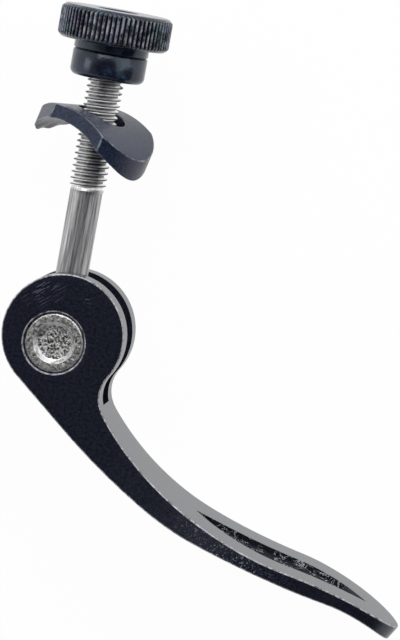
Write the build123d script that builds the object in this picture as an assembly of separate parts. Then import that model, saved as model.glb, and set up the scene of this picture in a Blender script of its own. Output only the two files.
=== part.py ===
"""Quick-release cam lever: eccentric fork lever, cross barrel, M6 stud, saddle washer and thumb nut.

Frame: origin where the stud's axis crosses the lever's pivot axis. +Y runs along the stud towards the
thumb nut, +Z runs along the pivot axis, and the handle leaves the cam towards +X. The assembly lies on
its side, as it comes to rest when it is not clamped. All lengths are in millimetres, angles in degrees.
"""

import os
from math import cos, radians, sin

from build123d import *

# ---- Cam: two round cheeks, set off centre from the pivot --------------------------------------------
cam_radius = 9.92
eccentricity = 1.86
eccentric_angle = 50.0          # from +X, where the cam stands highest in the stored pose
cheek_width = 15.0              # over both cheeks, along the pivot
edge_chamfer = 0.28

# ---- Handle, side view: arcs that run on from one another -------------------------------------------
back_angle = 38.9               # the back leaves the cam in a straight line, this far below +X
back_straight = 11.5
back_root_radius = 98.0
back_root_angle = 10.5          # the angle that each arc turns through
back_hollow_radius = 44.5
back_hollow_angle = 14.0
back_long_radius = 980.0
back_long_angle = 1.3
back_crown_radius = 25.6
back_crown_angle = 23.2
back_tip_radius = 460.0
back_tip_angle = 0.75
neck_angle = 32.1               # where the neck leaves the cam, below +X from the cam's centre
neck_radius = 5.5
neck_bend_angle = 71.4
root_radius = 47.7
root_bend_angle = 26.6
front_hollow_radius = 73.7
front_hollow_angle = 13.4
tip_thickness = 2.9             # the front ends this far above the end of the back, past the tip

# ---- Handle, plan view: a leaf that widens from the fork and closes in half an ellipse --------------
handle_angle = 30.7             # the handle's long axis, below +X
flare_start = 11.5              # along that axis, measured from the pivot
flare_middle = 31.0
flare_middle_width = 18.6
paddle_station = 49.0           # where the paddle is widest
paddle_width = 25.4
tip_length = 22.9               # from there to the tip

# ---- Lens-shaped recess in the handle's hollow face --------------------------------------------------
recess_start = 34.8
recess_end = 65.2
recess_width = 10.4
recess_depth = 0.95
recess_ramp_start = 60.5        # past here the floor is shallow
recess_ramp_depth = 0.45

# ---- Fork slot ---------------------------------------------------------------------------------------
slot_width = 6.4
slot_reach = 12.7               # from the pivot to the slot's floor

# ---- Pivot barrel ------------------------------------------------------------------------------------
barrel_radius = 4.9
barrel_sink = 0.35              # each end stands this far below the cheek
barrel_clearance = 0.06
barrel_chamfer = 0.35
bore_chamfer = 0.4
dimple_mouth_radius = 3.45
dimple_floor_radius = 2.85
dimple_depth = 0.9

# ---- Stud --------------------------------------------------------------------------------------------
thread_radius = 2.95            # crest of the M6 thread
shank_radius = 2.63
foot_chamfer = 0.4
shank_start = 4.3               # above the pivot, still inside the barrel
shank_end = 24.2
tapped_clearance = 0.02
stud_end_chamfer = 0.6
stud_sink = 1.5                 # the stud ends this far below the top of the nut

# ---- Thumb nut ---------------------------------------------------------------------------------------
nut_seat = 42.7                 # distance from the pivot to the clamping face
collar_radius = 6.05
collar_height = 5.7
collar_fillet = 1.1
groove_offset = 1.2             # below the rim
groove_width = 0.35
groove_depth = 0.25
rim_radius = 9.05
rim_height = 5.5
rim_chamfer = 0.6
knurl_count = 72
knurl_depth = 0.28
nut_clearance = 0.05
nut_bore_chamfer = 0.5

# ---- Saddle washer -----------------------------------------------------------------------------------
saddle_radius = 14.8            # outer face of the arch
saddle_thickness = 2.4
saddle_width = 16.6             # along the arch's axis
saddle_flat_length = 10.4       # straight part of each side
saddle_length = 20.0            # over the rounded ends
saddle_hole_radius = 4.05
saddle_edge_chamfer = 0.2
saddle_height = 37.3            # crown of the arch above the pivot
saddle_offset = 0.4             # the loose washer hangs this far off the stud's axis
saddle_turn_angle = 24.5        # about the stud, right-hand end forward
saddle_tilt_angle = 14.8        # right-hand end down

cam_centre = Vector(
    eccentricity * cos(radians(eccentric_angle)),
    eccentricity * sin(radians(eccentric_angle)),
)


def direction(angle):
    """Unit vector at this angle from +X."""
    return Vector(cos(radians(angle)), sin(radians(angle)))


def on_cam(angle):
    """Point of the cam's outline at this angle from +X."""
    return cam_centre + cam_radius * direction(angle)


def arc_chain(start, heading, bends):
    """Arcs that follow one another without a corner: each bend is (radius, turn), left turns positive."""
    edges = []
    point = start
    for radius, turn in bends:
        arc = JernArc(start=point, tangent=direction(heading), radius=radius, arc_size=turn)
        edges.append(arc)
        point = arc @ 1
        heading += turn
    return edges, point, heading


def lever_profile():
    """Side view of the lever, without slot or bore."""
    back_start = on_cam(-90 - back_angle)
    back_line = Line(back_start, back_start + back_straight * direction(-back_angle))
    back, back_end, back_heading = arc_chain(
        back_line @ 1,
        -back_angle,
        [
            (back_root_radius, back_root_angle),
            (back_hollow_radius, back_hollow_angle),
            (back_long_radius, back_long_angle),
            (back_crown_radius, -back_crown_angle),
            (back_tip_radius, -back_tip_angle),
        ],
    )
    neck_start = on_cam(-neck_angle)
    front, front_bend, front_heading = arc_chain(
        neck_start,
        -neck_angle - 90,
        [
            (neck_radius, neck_bend_angle),
            (root_radius, root_bend_angle),
            (front_hollow_radius, front_hollow_angle),
        ],
    )
    front_end = back_end + tip_thickness * direction(back_heading + 90)
    crown = TangentArc(front_bend, front_end, tangent=direction(front_heading))
    outline = [
        Line(cam_centre, neck_start),
        *front,
        crown,
        Line(front_end, back_end),
        *reversed(back),
        back_line,
        Line(back_start, cam_centre),
    ]
    handle = make_face(Wire(outline))
    return Pos(cam_centre) * Circle(cam_radius) + handle


def plan_plane():
    """Plane seen square to the handle's long axis: its x runs along the handle, its y along the pivot."""
    angle = radians(handle_angle)
    return Plane(origin=(0, 0, 0), x_dir=(cos(angle), -sin(angle), 0), z_dir=(sin(angle), cos(angle), 0))


def plan_outline():
    """Plan view of the lever: straight cheeks, a flare and an elliptical tip."""
    cheek = cheek_width / 2
    paddle = paddle_width / 2
    fork_end = -2 * cam_radius
    straight = Line((fork_end, cheek), (flare_start, cheek))
    side = Spline(
        (flare_start, cheek),
        (flare_middle, flare_middle_width / 2),
        (paddle_station, paddle),
        tangents=[(1, 0), (1, 0)],
    )
    tip = EllipticalCenterArc(
        center=(paddle_station, 0), x_radius=tip_length, y_radius=paddle, start_angle=0, arc_size=90
    )
    middle = Line(tip @ 0, (fork_end, 0))
    heel = Line((fork_end, 0), (fork_end, cheek))
    half = make_face(Wire([straight, side, tip, middle, heel]))
    return half + mirror(half, about=Plane.XZ)


def lens_outline():
    """Pointed lens of the recess in plan view."""
    middle = (recess_start + recess_end) / 2
    half = recess_width / 2
    near_side = ThreePointArc((recess_start, 0), (middle, half), (recess_end, 0))
    far_side = ThreePointArc((recess_end, 0), (middle, -half), (recess_start, 0))
    return make_face(Wire([near_side, far_side]))


def through_plan(sketch):
    """Prism of a plan-view sketch, right through the lever."""
    reach = 3 * (cam_radius + paddle_station)
    return extrude(plan_plane() * sketch, amount=reach, both=True)


def recess_cutter(profile, depth, end_station):
    """What the recess takes away: the lens, down to the handle's front lowered by depth."""
    angle = radians(handle_angle)
    sunk = Pos(-depth * sin(angle), -depth * cos(angle), 0) * profile
    floor = extrude(sunk, amount=paddle_width, both=True)
    span = end_station - recess_start
    window = Pos(recess_start + span / 2, 0) * Rectangle(span, 2 * recess_width)
    above_back = extrude(profile, amount=paddle_width, both=True)
    return (through_plan(lens_outline() & window) & above_back) - floor


def make_cam_lever():
    """One casting: fork with two eccentric cheeks, neck and curved leaf-shaped handle."""
    profile = lever_profile()
    body = extrude(profile, amount=paddle_width, both=True) & through_plan(plan_outline())
    rim_edges = body.edges().filter_by(Axis.Z, reverse=True)
    body = chamfer(rim_edges, edge_chamfer)

    body -= recess_cutter(profile, recess_ramp_depth, recess_end)
    body -= recess_cutter(profile, recess_depth, recess_ramp_start)

    slot_length = 4 * cam_radius
    slot_middle = slot_reach - slot_length / 2
    slot = Rot(0, 0, -back_angle) * Pos(slot_middle, 0, 0) * Box(slot_length, 6 * cam_radius, slot_width)
    body -= slot

    bore_radius = barrel_radius + barrel_clearance
    body -= Cylinder(bore_radius, 2 * cheek_width)
    for side in (-1, 1):
        mouth = Cone(
            bottom_radius=bore_radius - bore_chamfer,
            top_radius=bore_radius + bore_chamfer,
            height=2 * bore_chamfer,
        )
        flip = Rot(0, 0, 0) if side > 0 else Rot(180, 0, 0)
        body -= Pos(0, 0, side * cheek_width / 2) * flip * mouth
    return body


def make_pivot_barrel():
    """Steel cross barrel: dimpled ends and a tapped cross hole for the stud."""
    half_length = cheek_width / 2 - barrel_sink
    half_section = Polyline(
        (0, 0),
        (barrel_radius, 0),
        (barrel_radius, half_length - barrel_chamfer),
        (barrel_radius - barrel_chamfer, half_length),
        (dimple_mouth_radius, half_length),
        (dimple_floor_radius, half_length - dimple_depth),
        (0, half_length - dimple_depth),
        close=True,
    )
    upper = revolve(Plane.XZ * make_face(half_section), axis=Axis.Z)
    barrel = upper + mirror(upper, about=Plane.XY)
    tapped_hole = Rot(90, 0, 0) * Cylinder(thread_radius + tapped_clearance, 3 * barrel_radius)
    return barrel - tapped_hole


def make_stud():
    """Threaded stud: foot screwed through the barrel, plain shank, thread up into the nut."""
    foot_end = -barrel_radius + foot_chamfer
    stud_end = nut_seat + collar_height + rim_height - stud_sink
    section = Polyline(
        (0, foot_end),
        (thread_radius - foot_chamfer, foot_end),
        (thread_radius, foot_end + foot_chamfer),
        (thread_radius, shank_start - foot_chamfer),
        (shank_radius, shank_start),
        (shank_radius, shank_end),
        (thread_radius, shank_end + thread_radius - shank_radius),
        (thread_radius, stud_end - stud_end_chamfer),
        (thread_radius - stud_end_chamfer, stud_end),
        (0, stud_end),
        close=True,
    )
    return revolve(make_face(section), axis=Axis.Y)


def knurled_disc(outer_radius, depth, count, height):
    """Disc with straight V grooves all round, standing on the XY plane."""
    corners = []
    for tooth in range(count):
        for step, radius in ((0.0, outer_radius - depth), (0.35, outer_radius), (0.65, outer_radius)):
            angle = radians(360 * (tooth + step) / count)
            corners.append((radius * cos(angle), radius * sin(angle)))
    return extrude(make_face(Polyline(*corners, close=True)), amount=height)


def make_thumb_nut():
    """Knurled thumb nut with a smooth collar, tapped right through."""
    rim_floor = collar_height
    top = collar_height + rim_height
    groove_top = rim_floor - groove_offset
    bore_radius = thread_radius + nut_clearance
    collar_section = Polyline(
        (0, 0),
        (collar_radius, 0),
        (collar_radius, groove_top - groove_width),
        (collar_radius - groove_depth, groove_top - groove_width / 2),
        (collar_radius, groove_top),
        (collar_radius, rim_floor + rim_chamfer),
        (0, rim_floor + rim_chamfer),
        close=True,
    )
    collar = revolve(Plane.XZ * make_face(collar_section), axis=Axis.Z)
    seat_edge = collar.edges().filter_by(GeomType.CIRCLE).sort_by(Axis.Z)[0]
    collar = fillet(seat_edge, collar_fillet)

    blank = chamfer(Cylinder(rim_radius, rim_height).edges().filter_by(GeomType.CIRCLE), rim_chamfer)
    blank = Pos(0, 0, rim_floor + rim_height / 2) * blank
    rim = blank & (Pos(0, 0, rim_floor) * knurled_disc(rim_radius, knurl_depth, knurl_count, rim_height))

    nut = collar + rim - Pos(0, 0, top / 2) * Cylinder(bore_radius, 2 * top)
    for height, flip in ((0, 180), (top, 0)):
        mouth = Cone(
            bottom_radius=bore_radius - nut_bore_chamfer,
            top_radius=bore_radius + nut_bore_chamfer,
            height=2 * nut_bore_chamfer,
        )
        nut -= Pos(0, 0, height) * Rot(flip, 0, 0) * mouth
    return Pos(0, nut_seat, 0) * Rot(-90, 0, 0) * nut


def make_saddle_washer():
    """Arched plate with rounded ends and a roomy hole, hanging askew on the stud."""
    arch_centre = (0, -saddle_radius)
    ring = Pos(arch_centre) * (Circle(saddle_radius) - Circle(saddle_radius - saddle_thickness))
    upper_half = Pos(0, -saddle_radius / 2) * Rectangle(3 * saddle_radius, saddle_radius)
    arch = extrude(ring & upper_half, amount=saddle_width, both=True)

    half_flat = saddle_flat_length / 2
    half_width = saddle_width / 2
    half_length = saddle_length / 2
    outline = Wire(
        [
            Line((-half_flat, half_width), (half_flat, half_width)),
            ThreePointArc((half_flat, half_width), (half_length, 0), (half_flat, -half_width)),
            Line((half_flat, -half_width), (-half_flat, -half_width)),
            ThreePointArc((-half_flat, -half_width), (-half_length, 0), (-half_flat, half_width)),
        ]
    )
    plan = extrude(Plane.XZ * make_face(outline), amount=2 * saddle_radius, both=True)
    plate = arch & plan
    crown_face = plate.faces().filter_by(GeomType.CYLINDER).sort_by(SortBy.AREA)[-1]
    plate = chamfer(crown_face.outer_wire().edges(), saddle_edge_chamfer)
    plate -= Rot(90, 0, 0) * Cylinder(saddle_hole_radius, 4 * saddle_radius)
    turned = Rot(0, -saddle_turn_angle, 0) * Rot(0, 0, -saddle_tilt_angle)
    return Pos(saddle_offset, saddle_height, 0) * turned * plate


nodes = {
    "cam_lever": make_cam_lever(),
    "pivot_barrel": make_pivot_barrel(),
    "stud": make_stud(),
    "saddle_washer": make_saddle_washer(),
    "thumb_nut": make_thumb_nut(),
}

os.makedirs("parts", exist_ok=True)
for name, solid in nodes.items():
    export_step(solid, os.path.join("parts", name + ".step"))
    print(name, "volume", round(solid.volume, 1), "mm3")
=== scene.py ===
# %% [markdown]
# # Quick-release cam lever
# A small clamp seen from above: a black forked lever turns on a steel cross barrel, a steel stud runs up
# from the barrel, and a loose arched washer and a knurled thumb nut ride on the stud.

# %% Load the frame
from math import asin, atan2, cos, degrees, pi, radians, sin, sqrt

import bmesh
import bpy
from mathutils import Matrix, Vector, noise


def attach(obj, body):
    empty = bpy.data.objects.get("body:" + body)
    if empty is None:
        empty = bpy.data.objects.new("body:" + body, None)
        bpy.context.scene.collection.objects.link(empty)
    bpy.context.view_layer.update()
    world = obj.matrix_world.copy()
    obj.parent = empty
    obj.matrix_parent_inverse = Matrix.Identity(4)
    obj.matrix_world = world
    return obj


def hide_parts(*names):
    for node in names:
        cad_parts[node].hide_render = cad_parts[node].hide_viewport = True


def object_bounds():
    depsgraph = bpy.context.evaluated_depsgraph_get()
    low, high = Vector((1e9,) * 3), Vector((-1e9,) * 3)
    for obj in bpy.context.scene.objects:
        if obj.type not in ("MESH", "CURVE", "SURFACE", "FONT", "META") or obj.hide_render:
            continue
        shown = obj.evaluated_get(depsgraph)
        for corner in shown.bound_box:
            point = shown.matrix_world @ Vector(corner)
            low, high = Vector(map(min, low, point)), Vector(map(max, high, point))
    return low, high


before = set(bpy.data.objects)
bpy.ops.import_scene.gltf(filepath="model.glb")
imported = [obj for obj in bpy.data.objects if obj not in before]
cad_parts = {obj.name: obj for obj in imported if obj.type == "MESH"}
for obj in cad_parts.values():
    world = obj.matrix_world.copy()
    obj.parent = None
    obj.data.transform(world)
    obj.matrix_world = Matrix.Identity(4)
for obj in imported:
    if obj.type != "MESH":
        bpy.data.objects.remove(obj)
cad_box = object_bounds()
MM = 0.001
WELD = 0.002  # mm: points that are closer than this are one point
NEAR = 0.01  # mm: a place this close to a plane or a circle counts as on it
UPRIGHT = 0.9  # a face whose normal has this much Z looks up or down
print("CAD box in mm:", [[round(v / MM, 1) for v in corner] for corner in cad_box])

# %% Helpers for selecting and moving


def begin(piece=None):
    """Leaves edit mode and selects this piece alone, or nothing, so that an operator touches no other."""
    if bpy.context.object and bpy.context.object.mode != "OBJECT":
        bpy.ops.object.mode_set(mode="OBJECT")
    bpy.ops.object.select_all(action="DESELECT")
    if piece:
        piece.select_set(True)
        bpy.context.view_layer.objects.active = piece


def edit(piece):
    """Opens one piece in edit mode."""
    begin(piece)
    bpy.ops.object.mode_set(mode="EDIT")


def pick(piece, kind, test):
    """In edit mode, selects only the vertices, edges or faces that pass the test, and counts them."""
    bpy.ops.mesh.select_mode(type=kind)
    bpy.ops.mesh.select_all(action="DESELECT")
    mesh = bmesh.from_edit_mesh(piece.data)
    chosen = [e for e in {"VERT": mesh.verts, "EDGE": mesh.edges, "FACE": mesh.faces}[kind] if test(e)]
    for element in chosen:
        element.select_set(True)
    mesh.select_flush_mode()
    bmesh.update_edit_mesh(piece.data)
    return len(chosen)


def move_picked(piece, rule):
    """In edit mode, sends every selected vertex to where the rule says, in millimetres."""
    mesh = bmesh.from_edit_mesh(piece.data)
    for vertex in mesh.verts:
        if vertex.select:
            vertex.co = Vector(rule(vertex.co / MM)) * MM
    bmesh.update_edit_mesh(piece.data)


# %% Helpers for making and cutting


def sheet(name, across, along, place):
    """A grid whose vertices go where place(a, b) says, in millimetres, for a and b from 0 to 1."""
    begin()
    bpy.ops.mesh.primitive_grid_add(x_subdivisions=across, y_subdivisions=along, size=2)
    piece = bpy.context.object
    piece.name = name
    for vertex in piece.data.vertices:
        vertex.co = Vector(place((vertex.co.x + 1) / 2, (vertex.co.y + 1) / 2)) * MM
    return piece


def apply(piece, kind, **settings):
    """Adds one modifier with its settings and applies it."""
    begin(piece)
    modifier = piece.modifiers.new(kind, kind)
    for key, value in settings.items():
        setattr(modifier, key, value)
    bpy.ops.object.modifier_apply(modifier=modifier.name)


def close_up(piece, gap=WELD):
    """Merges what lies together and turns every face outwards."""
    edit(piece)
    bpy.ops.mesh.select_all(action="SELECT")
    bpy.ops.mesh.remove_doubles(threshold=gap * MM)
    bpy.ops.mesh.normals_make_consistent(inside=False)
    bpy.ops.object.mode_set(mode="OBJECT")


def cut(piece, tool):
    """Takes the tool's shape out of the piece and throws the tool away."""
    apply(piece, "BOOLEAN", operation="DIFFERENCE", solver="EXACT", object=tool)
    bpy.data.objects.remove(tool)


# %% Helpers for counting and handing over


def open_edges(piece):
    """Counts the edges that don't have exactly two faces."""
    mesh = bmesh.new()
    mesh.from_mesh(piece.data)
    count = sum(1 for e in mesh.edges if len(e.link_faces) != 2)
    mesh.free()
    return count


def finish_piece(piece, body, node, angle=35):
    """Smooths the shading below the angle and hands the piece over to its CAD body and node."""
    begin(piece)
    bpy.ops.object.shade_smooth_by_angle(angle=radians(angle))
    # Weighted normals keep the broad faces flat right up to their bevels.
    apply(piece, "WEIGHTED_NORMAL", keep_sharp=True)
    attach(piece, body)
    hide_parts(node)
    print(piece.name, "faces", len(piece.data.polygons), "open edges", open_edges(piece))


# %% [markdown]
# ## The lever
# The real lever is one casting. Seen from the side its outline is a chain of arcs, so the same arcs are
# worked out here and the mesh follows them: the round head as rings of faces round the bore, the handle
# as rungs across its thickness. It could be carved out of a block, but a mesh laid along the arcs has even
# faces that shade smoothly.

# %% Arcs of the side view
CAM_RADIUS, ECCENTRICITY, CAM_ANGLE = 9.92, 1.86, 50
CHEEK, SLOT, SLOT_REACH = 7.5, 3.2, 12.7
BACK_ANGLE, HANDLE_ANGLE, NECK_ANGLE = 38.9, 30.7, 32.1
BACK_STRAIGHT, TIP_THICKNESS = 11.5, 2.9
# Each bend is a radius in mm and the degrees that the arc turns through.
BACK_BENDS = ((98.0, 10.5), (44.5, 14.0), (980.0, 1.3), (25.6, -23.2), (460.0, -0.75))
FRONT_BENDS = ((5.5, 71.4), (47.7, 26.6), (73.7, 13.4))
CAM = Vector((ECCENTRICITY * cos(radians(CAM_ANGLE)), ECCENTRICITY * sin(radians(CAM_ANGLE))))
ALONG = Vector((cos(radians(HANDLE_ANGLE)), -sin(radians(HANDLE_ANGLE))))
ACROSS = Vector((sin(radians(HANDLE_ANGLE)), cos(radians(HANDLE_ANGLE))))


def turn(angle):
    """Unit vector at this angle from +X, in degrees."""
    return Vector((cos(radians(angle)), sin(radians(angle))))


def chain(start, heading, bends):
    """Arcs one after another as (centre, radius, first angle, sweep)."""
    arcs = []
    for radius, sweep in bends:
        side = 1 if sweep > 0 else -1
        centre = start + radius * turn(heading + 90 * side)
        first = heading - 90 * side
        arcs.append((centre, radius, first, sweep))
        start = centre + radius * turn(first + sweep)
        heading += sweep
    return arcs


def arc_point(arc, share):
    """Point part of the way along one arc."""
    centre, radius, first, sweep = arc
    return centre + radius * turn(first + share * sweep)


def arc_to(start, heading, end):
    """The arc that leaves the start on this heading and reaches the end."""
    chord = end - start
    ahead = turn(heading)
    sweep = 2 * degrees(atan2(ahead.x * chord.y - ahead.y * chord.x, ahead.dot(chord)))
    return chain(start, heading, [(chord.length / 2 / sin(radians(abs(sweep) / 2)), sweep)])[0]


print("cam centre in mm:", CAM[:])

# %% Outline of the side view
back_start = CAM + CAM_RADIUS * turn(-90 - BACK_ANGLE)
back = chain(back_start + BACK_STRAIGHT * turn(-BACK_ANGLE), -BACK_ANGLE, BACK_BENDS)
tip_heading = 90 - BACK_ANGLE + sum(angle for radius, angle in BACK_BENDS)
front_end = arc_point(back[-1], 1) + TIP_THICKNESS * turn(tip_heading)
front = chain(CAM + CAM_RADIUS * turn(-NECK_ANGLE), -NECK_ANGLE - 90, FRONT_BENDS)
last_heading = -NECK_ANGLE - 90 + sum(angle for radius, angle in FRONT_BENDS)
front.append(arc_to(arc_point(front[-1], 1), last_heading, front_end))


HALVINGS = 40


def on_chain(arcs, station, axis=ALONG):
    """Point of the chain at this distance from the pivot along the axis, found by halving."""
    for arc in arcs:
        low, high = 0.0, 1.0
        if arc_point(arc, 1).dot(axis) < station and arc is not arcs[-1]:
            continue
        for _ in range(HALVINGS):
            middle = (low + high) / 2
            low, high = (middle, high) if arc_point(arc, middle).dot(axis) < station else (low, middle)
        return arc_point(arc, low)


slot_axis = turn(-BACK_ANGLE)
front_slot = on_chain(front, SLOT_REACH, slot_axis)
back_slot = on_chain(back, SLOT_REACH, slot_axis)
print("slot floor runs from", front_slot[:], "to", back_slot[:])

# %% Plan view of the handle
FLARE, MIDDLE, PADDLE, TIP = 11.5, 31.0, 49.0, 22.7
MIDDLE_HALF, MIDDLE_SLOPE, PADDLE_HALF = 9.3, 0.175, 12.7
TAPER_FROM, TAPER = 55.0, 0.7  # the tip is a little slimmer than half an ellipse


def half_width(station):
    """Half the lever's width at this distance along the handle."""
    if station <= FLARE:
        return CHEEK
    if station < MIDDLE:
        share = (station - FLARE) / (MIDDLE - FLARE)
        span, ends, slopes = MIDDLE - FLARE, (CHEEK, MIDDLE_HALF), (0.0, MIDDLE_SLOPE)
    elif station < PADDLE:
        share = (station - MIDDLE) / (PADDLE - MIDDLE)
        span, ends, slopes = PADDLE - MIDDLE, (MIDDLE_HALF, PADDLE_HALF), (MIDDLE_SLOPE, 0.0)
    else:
        share = (station - PADDLE) / TIP
        taper = sin(pi * min(1.0, max(0.0, (station - TAPER_FROM) / (PADDLE + TIP - TAPER_FROM))))
        return PADDLE_HALF * sqrt(max(0.0, 1 - share**2)) - TAPER * taper
    # A cubic that starts and ends with the given half widths and slopes.
    keep = (1 + 2 * share) * (1 - share) ** 2 * ends[0] + share**2 * (3 - 2 * share) * ends[1]
    return keep + span * (share * (1 - share) ** 2 * slopes[0] - share**2 * (1 - share) * slopes[1])


# %% Handle rungs and head rings
RUNGS, LAYERS = 96, 8
EVEN = 0.3  # share of even spacing between the rungs; the rest crowds them towards the tip
LENGTH = PADDLE + TIP


def rung(share):
    """Front and back point of a rung: from the slot's floor at 0 to the tip at 1, closer near the tip."""
    if share <= 0:
        return front_slot, back_slot
    blend = EVEN * share + (1 - EVEN) * sin(share * pi / 2)
    feet = [foot.dot(ALONG) for foot in (front_slot, back_slot)]
    stations = [foot + (LENGTH - foot) * blend for foot in feet]
    return on_chain(front, stations[0]), on_chain(back, stations[1])


def handle_place(a, b):
    """Rungs from the slot's floor to the tip, each from the front face to the back."""
    front_point, back_point = rungs[round(a * RUNGS)]
    return (*front_point.lerp(back_point, b), SLOT)


rungs = [rung(i / RUNGS) for i in range(RUNGS + 1)]
handle = sheet("lever_body", RUNGS, LAYERS, handle_place)
print("handle thickness in mm:", [round((f - b).length, 2) for f, b in rungs[:: RUNGS // 8]])

# %% Head
BORE, RINGS = 4.96, 5
BACK_STEPS, CAM_STEPS, NECK_STEPS = 10, 110, 20
cam_sweep = 360 - 90 - BACK_ANGLE + NECK_ANGLE
neck_centre, neck_radius, neck_first, _ = front[0]
neck_sweep = (degrees(atan2(*(front_slot - neck_centre).yx)) - neck_first) % 360
outline = [front_slot.lerp(back_slot, i / LAYERS) for i in range(LAYERS)]
outline += [back_slot.lerp(back_start, i / BACK_STEPS) for i in range(BACK_STEPS)]
cam_angles = [-90 - BACK_ANGLE - i * cam_sweep / CAM_STEPS for i in range(CAM_STEPS)]
outline += [CAM + CAM_RADIUS * turn(angle) for angle in cam_angles]
neck_angles = [neck_first + neck_sweep * i / NECK_STEPS for i in range(NECK_STEPS)]
outline += [neck_centre + neck_radius * turn(angle) for angle in neck_angles]
outline.append(front_slot)
print("points round the head:", len(outline))


def head_place(a, b):
    """Rings of the head: from the bore at b = 0 to the outline at b = 1."""
    rim = outline[round(a * (len(outline) - 1))]
    return (*(BORE * rim.normalized()).lerp(rim, b), SLOT)


# %% Head and handle in one mesh
head = sheet("lever_head", len(outline) - 1, RINGS, head_place)
begin(handle)
head.select_set(True)
bpy.ops.object.join()
lever = handle
edit(lever)
bpy.ops.mesh.select_all(action="SELECT")
bpy.ops.mesh.remove_doubles(threshold=WELD * MM)
bpy.ops.mesh.extrude_region_move(TRANSFORM_OT_translate={"value": (0, 0, (CHEEK - SLOT) * MM)})


def past_slot(face):
    """True for the handle's faces on the plane of the slot's cheek."""
    middle = face.calc_center_median() / MM
    beyond = middle.xy.dot(slot_axis) > SLOT_REACH
    return beyond and middle.z < SLOT + NEAR and abs(face.normal.z) > UPRIGHT


print("faces over the slot's floor:", pick(lever, "FACE", past_slot))
bpy.ops.mesh.extrude_region_move(TRANSFORM_OT_translate={"value": (0, 0, -SLOT * MM)})
bpy.ops.mesh.delete(type="FACE")


# %% Plan width and the other half


def widen(point):
    """Spreads the handle to its plan width."""
    if point.xy.dot(slot_axis) < SLOT_REACH - WELD / 2:
        return point
    return (point.x, point.y, point.z * half_width(point.xy.dot(ALONG)) / CHEEK)


bpy.ops.mesh.select_all(action="SELECT")
move_picked(lever, widen)
bpy.ops.object.mode_set(mode="OBJECT")
apply(lever, "MIRROR", use_axis=(False, False, True), use_mirror_merge=True, merge_threshold=WELD * MM)
close_up(lever)
print("lever mesh:", len(lever.data.vertices), "points,", open_edges(lever), "open edges")

# %% [markdown]
# The handle's hollow face has a pointed lens sunk into it, and its floor was left rough. A cutter is
# made in that shape, its floor is roughened, and it is taken out of the handle. The floor could be
# sculpted by hand, but noise makes the same lumps every time.

# %% Lens-shaped recess
LENS_FROM, LENS_TO, LENS_HALF = 34.8, 65.2, 5.2
LENS_MIDDLE, LENS_REACH = (LENS_FROM + LENS_TO) / 2, (LENS_TO - LENS_FROM) / 2
LENS_ARC = (LENS_REACH**2 + LENS_HALF**2) / 2 / LENS_HALF
LENS_LIP, LENS_FALL, LENS_RAMP = 0.2, 0.7, 4.7  # depth at the tip's end, more of it further in, ramp length
LUMP_HEIGHT, LUMPS_PER_MM = 0.16, 0.9
LENS_ROWS, LENS_COLUMNS = 170, 44
noise.seed_set(7)


def lens_half(station):
    """Half the lens's width at this distance along the handle."""
    return max(0.0, sqrt(LENS_ARC**2 - (station - LENS_MIDDLE) ** 2) - LENS_ARC + LENS_HALF)


def lens_depth(station, side):
    """Depth of the rough floor: level, then a ramp at the tip's end."""
    ramp = min(1.0, max(0.0, (LENS_TO - station) / LENS_RAMP))
    spot = Vector((station * LUMPS_PER_MM, side * LUMPS_PER_MM, 3.0))
    rough = noise.fractal(spot, 1.0, 2.2, 4)  # four layers, each 2.2 times finer than the last
    return LENS_LIP + LENS_FALL * ramp + LUMP_HEIGHT * rough


def lens_place(a, b):
    """The cutter's floor."""
    station = LENS_FROM + (LENS_TO - LENS_FROM) * (0.5 - 0.5 * cos(pi * a))
    side = (2 * b - 1) * lens_half(station)
    surface = on_chain(front, station)
    return (*(surface - lens_depth(station, side) * ACROSS), side)


lens = sheet("lens_cutter", LENS_ROWS, LENS_COLUMNS, lens_place)
edit(lens)
bpy.ops.mesh.select_all(action="SELECT")
bpy.ops.mesh.extrude_region_move(TRANSFORM_OT_translate={"value": (*(ACROSS * 2.5 * MM), 0)})
# The cutter's lid follows the handle's face, 1 mm above it.
move_picked(lens, lambda p: (*(on_chain(front, p.xy.dot(ALONG)) + ACROSS), p.z))
close_up(lens)
print("lens cutter open edges:", open_edges(lens))
cut(lever, lens)

# %% [markdown]
# Every outer edge of the casting is broken, and the black finish is thinnest there. The edges are bevelled,
# and the faces that the bevel makes are marked, so that they can have a rubbed finish of their own. A Bevel
# modifier would round the recess and the slot as well, so the edges are picked by their place first.

# %% Rounded edges of the lever
PLAIN, RUBBED, ROUGH = 0, 1, 2
SHARP = 40  # degrees: an edge this sharp is one of the casting's edges
LEVER_BEVEL, BORE_BEVEL = 0.2, 0.25
CLEAR, SLOT_EDGES_TO = 0.3, 60  # edges this near the bore or the lens stay, and the slot's up to there


def mark(piece, number):
    """In edit mode, gives every selected face the number of a finish."""
    mesh = bmesh.from_edit_mesh(piece.data)
    for face in mesh.faces:
        if face.select:
            face.material_index = number
    bmesh.update_edit_mesh(piece.data)


def outer_edge(edge):
    """True for the edges where the flanks meet the rim and the handle's faces."""
    if len(edge.link_faces) != 2 or edge.calc_face_angle() < radians(SHARP):
        return False
    high = max(abs(v.co.z) for v in edge.verts) / MM
    middle = (edge.verts[0].co + edge.verts[1].co) / 2 / MM
    station = middle.xy.dot(ALONG)
    in_slot = high < SLOT + 0.05 and station < SLOT_EDGES_TO
    if middle.xy.length < BORE + CLEAR or in_slot:
        return False
    beside = LENS_FROM - 0.5 < station < LENS_TO + 0.5
    return not (beside and abs(middle.z) < lens_half(station) + CLEAR)


edit(lever)
print("edges rounded:", pick(lever, "EDGE", outer_edge))
bpy.ops.mesh.bevel(
    offset=LEVER_BEVEL * MM, offset_type="OFFSET", segments=3, affect="EDGES", clamp_overlap=False
)
mark(lever, RUBBED)


# %% Edges of the bore


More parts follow.
